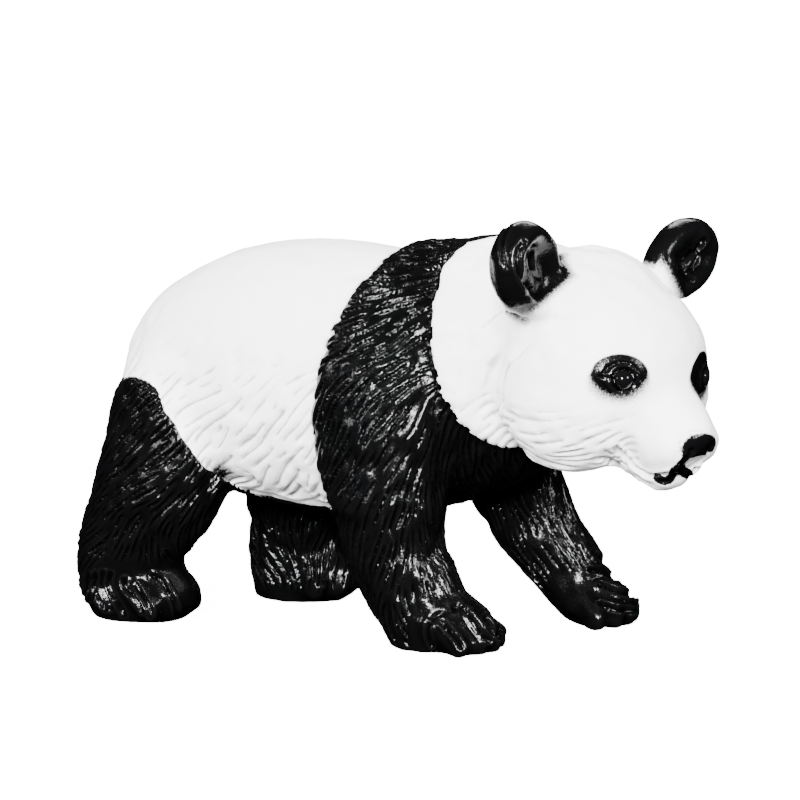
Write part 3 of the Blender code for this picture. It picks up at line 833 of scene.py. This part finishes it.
def plastic():
    """Satin white soft plastic under glossy black paint, with sprayed edges round the eyes and the ears."""
    material = bpy.data.materials.new("painted plastic")
    material.use_nodes = True
    tree = material.node_tree
    shader = tree.nodes["Principled BSDF"]
    place = node(tree, "ShaderNodeTexCoord").outputs["Object"]

    def fact(name):
        return node(tree, "ShaderNodeAttribute", attribute_name=name).outputs["Fac"]

    def maths(operation, a, b=0.0, c=0.0):
        return node(tree, "ShaderNodeMath", (0, a), (1, b), (2, c), operation=operation)

    def span(value, start, end):
        return node(tree, "ShaderNodeMapRange", ("Value", value), ("From Min", start), ("From Max", end),
                    interpolation_type="SMOOTHSTEP")

    def grain(across, detail=2.0):
        return node(tree, "ShaderNodeTexNoise", ("Vector", place), ("Scale", 1 / (across * UNIT)),
                    ("Detail", detail)).outputs["Fac"]

    def mixed(amount, a, b):
        return node(tree, "ShaderNodeMix", ("Factor", amount), (6, a), (7, b), data_type="RGBA").outputs[2]

    # The paint: crisp in the fur, and ragged and speckled where it was sprayed.
    rough_edge = maths("MULTIPLY_ADD", grain(0.4), 0.3, -0.15)
    black = span(maths("ADD", fact("black"), rough_edge), -0.1, 0.1)
    speckle = maths("MULTIPLY_ADD", grain(0.22, 3.0), 1.8, -0.9)
    edge = maths("MULTIPLY_ADD", fact("soft"), 0.9, 0.15)
    ragged = maths("MULTIPLY_ADD", maths("MULTIPLY", fact("soft"), speckle), 0.9, fact("patch"))
    patch = span(maths("DIVIDE", ragged, edge), -0.9, 0.9)
    spray = span(maths("ADD", fact("spray"), maths("MULTIPLY", speckle, 0.3)), 0.2, 0.85)
    dark = maths("MAXIMUM", maths("MAXIMUM", black, patch), spray)

    # The colours, with painted shade darkening the white and the black in the grooves.
    cavity_shade = fact("cavity_shade")
    white = mixed(span(cavity_shade, 0.04, 1.1), WHITE, WHITE_GROOVE_SHADE)
    ink = mixed(span(cavity_shade, -1.0, 0.6), INK, INK_GROOVE_SHADE)
    colour = mixed(dark, white, ink)
    tree.links.new(colour, shader.inputs["Base Color"])

    # The paint is glossier than the plastic, and the eyes and the nose most of all.
    sheen = maths("MULTIPLY_ADD", grain(0.8), 0.08, 0.13)
    satin = maths("MULTIPLY_ADD", grain(1.5), 0.1, 0.38)
    rough = node(tree, "ShaderNodeMix", ("Factor", dark), (2, satin), (3, sheen)).outputs[0]
    rough = maths("MULTIPLY", rough, maths("MULTIPLY_ADD", fact("gloss"), -0.7, 1.0))
    tree.links.new(rough.outputs[0], shader.inputs["Roughness"])

    # A fine grain, weaker on the plastic and the nose, and missing from the eyes.
    flat = maths("MULTIPLY_ADD", fact("gloss"), -1.0, 1.0)
    height = maths("MULTIPLY", grain(0.32, 3.0), flat)
    height = maths("MULTIPLY", height, maths("MULTIPLY_ADD", dark, 0.8, 0.2))
    fine = node(tree, "ShaderNodeBump", ("Strength", 0.7), ("Distance", 0.06 * UNIT), ("Height", height))
    tree.links.new(fine.outputs[0], shader.inputs["Normal"])
    shader.inputs["Specular IOR Level"].default_value = 0.18
    return material


def panda():
    """The figure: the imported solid's form with its carving and paint."""
    skin = form()
    tree = BVHTree.FromPolygons(
        [tuple(point) for point in skin.points], [tuple(face.vertices) for face in skin.mesh.polygons],
    )
    fur = Fur(skin, fur_gaps(skin.points))
    clay = bmesh.new()
    clay.from_mesh(skin.mesh)
    skin = remade(clay, SKIN_VOXEL)
    skin.points = skin.smoothed(skin.points, 2)
    carved(skin, fur, tree)
    skin = thinned(skin)
    painted(skin, tree)
    skin.mesh.transform(row_from_drawn())
    skin.mesh.shade_smooth()
    piece = bpy.data.objects.new("panda_figure", skin.mesh)
    bpy.context.collection.objects.link(piece)
    piece.data.materials.clear()
    piece.data.materials.append(plastic())
    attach(piece, "root")
    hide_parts("panda")


def studio():
    """A bright sweep under and behind the figure, and a pale world that is darker below."""
    wide, near, deep, tall, bend = 3.0, -1.2, 0.9, 1.6, 0.35
    profile = [(near, 0.0), (deep - bend, 0.0)]
    profile += [
        (deep - bend + bend * math.sin(a), bend - bend * math.cos(a))
        for a in np.linspace(0, math.pi / 2, 16)[1:]
    ]
    profile.append((deep, tall))
    shape = bmesh.new()
    last = None
    for along, up in profile:
        pair = [shape.verts.new((side * wide, along, up)) for side in (-1, 1)]
        if last:
            shape.faces.new((last[0], last[1], pair[1], pair[0]))
        last = pair
    mesh = bpy.data.meshes.new("sweep")
    shape.to_mesh(mesh)
    shape.free()
    mesh.shade_smooth()
    sweep = bpy.data.objects.new("sweep", mesh)
    sweep.rotation_euler.z = math.radians(CAMERA_TURN)
    bpy.context.collection.objects.link(sweep)
    material = bpy.data.materials.new("pale sweep")
    material.use_nodes = True
    shader = material.node_tree.nodes["Principled BSDF"]
    shader.inputs["Base Color"].default_value = (0.9, 0.9, 0.9, 1)
    shader.inputs["Roughness"].default_value = 0.9
    shader.inputs["Emission Color"].default_value = (1, 1, 1, 1)
    shader.inputs["Emission Strength"].default_value = SWEEP_GLOW
    mesh.materials.append(material)
    sweep.visible_glossy = False
    sweep.visible_diffuse = False
    sweep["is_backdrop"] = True

    world = bpy.data.worlds.new("studio")
    world.use_nodes = True
    tree = world.node_tree
    way = node(tree, "ShaderNodeTexCoord").outputs["Generated"]
    height = node(tree, "ShaderNodeSeparateXYZ", (0, way)).outputs["Z"]
    glow = node(tree, "ShaderNodeMapRange", ("Value", height), ("From Min", -0.5), ("From Max", 0.5),
                ("To Min", WORLD_GLOW[0]), ("To Max", WORLD_GLOW[1]))
    tree.nodes["Background"].inputs["Color"].default_value = (1, 1, 1, 1)
    tree.links.new(glow.outputs[0], tree.nodes["Background"].inputs["Strength"])
    world.cycles_visibility.glossy = False
    bpy.context.scene.world = world


def lamp(name, at, size, power):
    """A soft box turned to the figure, so far right, away from the camera and up, in metres."""
    light = bpy.data.lights.new(name, "AREA")
    light.shape = "RECTANGLE"
    light.size, light.size_y = size
    light.energy = power
    item = bpy.data.objects.new(name, light)
    place = turned((0, 0, CAMERA_TURN)) @ Vector(at)
    item.location = place
    item.rotation_euler = (LIT_POINT - place).to_track_quat("-Z", "Y").to_euler()
    bpy.context.collection.objects.link(item)


def lights():
    """A strong soft box near the camera, and weaker ones on the left, on the right and behind."""
    lamp("key soft box", (-0.12, -0.72, 0.32), (0.2, 0.2), 32)
    lamp("left soft box", (-0.6, -0.25, 0.25), (0.12, 0.12), 2.5)
    lamp("right soft box", (0.5, -0.4, 0.3), (0.12, 0.12), 4)
    lamp("rear soft box", (0.1, 0.5, 0.5), (0.3, 0.2), 2)


def camera():
    """The photograph's view: from the right and ahead, a little above."""
    eye, right, up, back = view()
    place = row_from_drawn() @ Matrix.Translation(eye) @ Matrix((right, up, back)).transposed().to_4x4()

    lens = bpy.data.cameras.new("camera")
    lens.sensor_width = SENSOR
    lens.lens = FOCAL_PIXELS / IMAGE_PIXELS * SENSOR
    lens.clip_start = 0.01
    lens.clip_end = 10
    item = bpy.data.objects.new("camera", lens)
    item.matrix_world = Matrix.LocRotScale(place.translation, place.to_quaternion(), None)
    bpy.context.collection.objects.link(item)
    bpy.context.scene.camera = item


panda()
studio()
lights()
camera()

sizes = {"cad": CAD_BOUNDS, "visual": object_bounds()}
{name: [list(corner) for corner in box] for name, box in sizes.items()}
